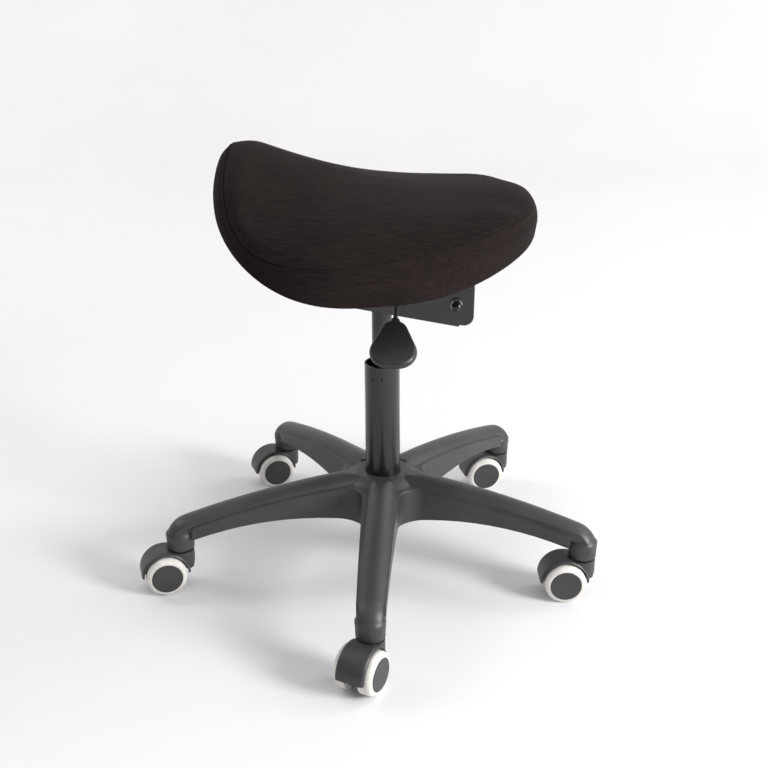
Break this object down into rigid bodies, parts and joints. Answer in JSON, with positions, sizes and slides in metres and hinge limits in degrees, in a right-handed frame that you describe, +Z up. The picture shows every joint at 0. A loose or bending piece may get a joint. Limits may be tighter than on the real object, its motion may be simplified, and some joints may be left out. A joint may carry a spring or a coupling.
{
  "type": "adjustable swivel stool",
  "caption": "Saddle stool with a nose-down seat that tilts and turns on a gas spring, raised with a side paddle, on a star base with twin-wheel castors.",
  "frame": {"origin": "on the floor, on the column's axis", "axes": "+Z up along the column, +X towards the seat's front (its narrow, low nose), +Y towards the sitter's left; the height paddle is on -Y"},
  "size_m": [0.6515, 0.6377, 0.6262],
  "materials": {
    "base_nylon": "smooth_plastic",
    "hood_nylon": "smooth_plastic",
    "black_nylon": "smooth_plastic",
    "black_enamel": "satin",
    "plated_steel": "brushed",
    "spring_steel": "brushed",
    "bearing_steel": "polished",
    "rod_steel": "brushed",
    "brass": "machined",
    "bumper_rubber": "rubber",
    "paddle_plastic": "smooth_plastic",
    "shell_plastic": "smooth_plastic",
    "seat_fabric": "woven",
    "pale_tread": "rubber"
  },
  "bodies": {
    "base": {"star_base": "base_nylon", "castor_grip_rings": "spring_steel", "column_tube": "black_enamel", "guide_bush": "black_nylon", "bearing_lower_washer": "plated_steel", "bearing_cage": "brass", "bearing_balls": "bearing_steel"},
    "spindle": {"piston_rod": "bearing_steel", "piston": "brass", "rod_washers": "plated_steel", "rod_clip": "spring_steel", "rod_bumper": "bumper_rubber"},
    "lift": {"gas_cylinder": "black_enamel", "cylinder_gland": "black_nylon", "lower_channel": "black_enamel", "pivot_bolt": "plated_steel", "pivot_spacer": "plated_steel", "pivot_washers": "plated_steel", "pivot_cap_nut": "black_enamel", "lever_pin": "plated_steel"},
    "seat": {"upper_bracket": "black_enamel", "seat_shell": "shell_plastic", "seat_inserts": "brass", "seat_screws": "plated_steel", "seat_cushion": "seat_fabric"},
    "lever": {"height_lever": "rod_steel", "lever_paddle": "paddle_plastic"},
    "valve_pin": {"release_pin": "plated_steel"},
    "knob": {"tilt_knob": "black_nylon"},
    "castor_right_fork": {"castor_right_hood": "hood_nylon", "castor_right_pins": "plated_steel"},
    "castor_right_wheel_a": {"castor_right_wheel_core_a": "hood_nylon", "castor_right_tyre_a": "pale_tread"},
    "castor_right_wheel_b": {"castor_right_wheel_core_b": "hood_nylon", "castor_right_tyre_b": "pale_tread"},
    "castor_front_right_fork": {"castor_front_right_hood": "hood_nylon", "castor_front_right_pins": "plated_steel"},
    "castor_front_right_wheel_a": {"castor_front_right_wheel_core_a": "hood_nylon", "castor_front_right_tyre_a": "pale_tread"},
    "castor_front_right_wheel_b": {"castor_front_right_wheel_core_b": "hood_nylon", "castor_front_right_tyre_b": "pale_tread"},
    "castor_front_left_fork": {"castor_front_left_hood": "hood_nylon", "castor_front_left_pins": "plated_steel"},
    "castor_front_left_wheel_a": {"castor_front_left_wheel_core_a": "hood_nylon", "castor_front_left_tyre_a": "pale_tread"},
    "castor_front_left_wheel_b": {"castor_front_left_wheel_core_b": "hood_nylon", "castor_front_left_tyre_b": "pale_tread"},
    "castor_rear_left_fork": {"castor_rear_left_hood": "hood_nylon", "castor_rear_left_pins": "plated_steel"},
    "castor_rear_left_wheel_a": {"castor_rear_left_wheel_core_a": "hood_nylon", "castor_rear_left_tyre_a": "pale_tread"},
    "castor_rear_left_wheel_b": {"castor_rear_left_wheel_core_b": "hood_nylon", "castor_rear_left_tyre_b": "pale_tread"},
    "castor_rear_right_fork": {"castor_rear_right_hood": "hood_nylon", "castor_rear_right_pins": "plated_steel"},
    "castor_rear_right_wheel_a": {"castor_rear_right_wheel_core_a": "hood_nylon", "castor_rear_right_tyre_a": "pale_tread"},
    "castor_rear_right_wheel_b": {"castor_rear_right_wheel_core_b": "hood_nylon", "castor_rear_right_tyre_b": "pale_tread"}
  },
  "joints": [
    {"name": "seat_swivel", "type": "hinge", "parent": "base", "child": "spindle", "pos_m": [0, 0, 0.09], "axis": [0, 0, 1], "continuous": true},
    {"name": "seat_height", "type": "slide", "parent": "spindle", "child": "lift", "axis": [0, 0, 1], "range_m": [-0.0775, 0.047]},
    {"name": "seat_tilt", "type": "hinge", "parent": "lift", "child": "seat", "pos_m": [0.101, 0, 0.412], "axis": [0, -1, 0], "range_deg": [-4, 11]},
    {"name": "height_lever_lift", "type": "hinge", "parent": "lift", "child": "lever", "pos_m": [0.021, -0.027, 0.4625], "axis": [-1, 0, 0], "range_deg": [0, 6.3]},
    {"name": "valve_press", "type": "slide", "parent": "lift", "child": "valve_pin", "axis": [0, 0, -1], "range_m": [0, 0.003]},
    {"name": "tilt_knob_turn", "type": "hinge", "parent": "lift", "child": "knob", "pos_m": [0.101, 0, 0.412], "axis": [0, 1, 0], "range_deg": [-180, 0]},
    {"name": "castor_right_swivel", "type": "hinge", "parent": "base", "child": "castor_right_fork", "pos_m": [-0.01675, -0.29953, 0.07], "axis": [0, 0, 1], "continuous": true},
    {"name": "castor_right_roll_a", "type": "hinge", "parent": "castor_right_fork", "child": "castor_right_wheel_a", "pos_m": [-0.02833, -0.32169, 0.029], "axis": [-0.8862, 0.4633, 0], "continuous": true},
    {"name": "castor_right_roll_b", "type": "hinge", "parent": "castor_right_fork", "child": "castor_right_wheel_b", "pos_m": [-0.02833, -0.32169, 0.029], "axis": [-0.8862, 0.4633, 0], "continuous": true},
    {"name": "castor_front_right_swivel", "type": "hinge", "parent": "base", "child": "castor_front_right_fork", "pos_m": [0.2797, -0.10849, 0.07], "axis": [0, 0, 1], "continuous": true},
    {"name": "castor_front_right_roll_a", "type": "hinge", "parent": "castor_front_right_fork", "child": "castor_front_right_wheel_a", "pos_m": [0.2547, -0.10901, 0.029], "axis": [-0.0209, 0.9998, 0], "continuous": true},
    {"name": "castor_front_right_roll_b", "type": "hinge", "parent": "castor_front_right_fork", "child": "castor_front_right_wheel_b", "pos_m": [0.2547, -0.10901, 0.029], "axis": [-0.0209, 0.9998, 0], "continuous": true},
    {"name": "castor_front_left_swivel", "type": "hinge", "parent": "base", "child": "castor_front_left_fork", "pos_m": [0.18961, 0.23248, 0.07], "axis": [0, 0, 1], "continuous": true},
    {"name": "castor_front_left_roll_a", "type": "hinge", "parent": "castor_front_left_fork", "child": "castor_front_left_wheel_a", "pos_m": [0.16529, 0.22669, 0.029], "axis": [-0.2317, 0.9728, 0], "continuous": true},
    {"name": "castor_front_left_roll_b", "type": "hinge", "parent": "castor_front_left_fork", "child": "castor_front_left_wheel_b", "pos_m": [0.16529, 0.22669, 0.029], "axis": [-0.2317, 0.9728, 0], "continuous": true},
    {"name": "castor_rear_left_swivel", "type": "hinge", "parent": "base", "child": "castor_rear_left_fork", "pos_m": [-0.16251, 0.25217, 0.07], "axis": [0, 0, 1], "continuous": true},
    {"name": "castor_rear_left_roll_a", "type": "hinge", "parent": "castor_rear_left_fork", "child": "castor_rear_left_wheel_a", "pos_m": [-0.18599, 0.24358, 0.029], "axis": [-0.3437, 0.9391, 0], "continuous": true},
    {"name": "castor_rear_left_roll_b", "type": "hinge", "parent": "castor_rear_left_fork", "child": "castor_rear_left_wheel_b", "pos_m": [-0.18599, 0.24358, 0.029], "axis": [-0.3437, 0.9391, 0], "continuous": true},
    {"name": "castor_rear_right_swivel", "type": "hinge", "parent": "base", "child": "castor_rear_right_fork", "pos_m": [-0.29005, -0.07663, 0.07], "axis": [0, 0, 1], "continuous": true},
    {"name": "castor_rear_right_roll_a", "type": "hinge", "parent": "castor_rear_right_fork", "child": "castor_rear_right_wheel_a", "pos_m": [-0.31405, -0.08361, 0.029], "axis": [-0.279, 0.9603, 0], "continuous": true},
    {"name": "castor_rear_right_roll_b", "type": "hinge", "parent": "castor_rear_right_fork", "child": "castor_rear_right_wheel_b", "pos_m": [-0.31405, -0.08361, 0.029], "axis": [-0.279, 0.9603, 0], "continuous": true}
  ],
  "couplings": [
    {"joint": "valve_press", "follows": "height_lever_lift", "m_per_rad": 0.027}
  ]
}
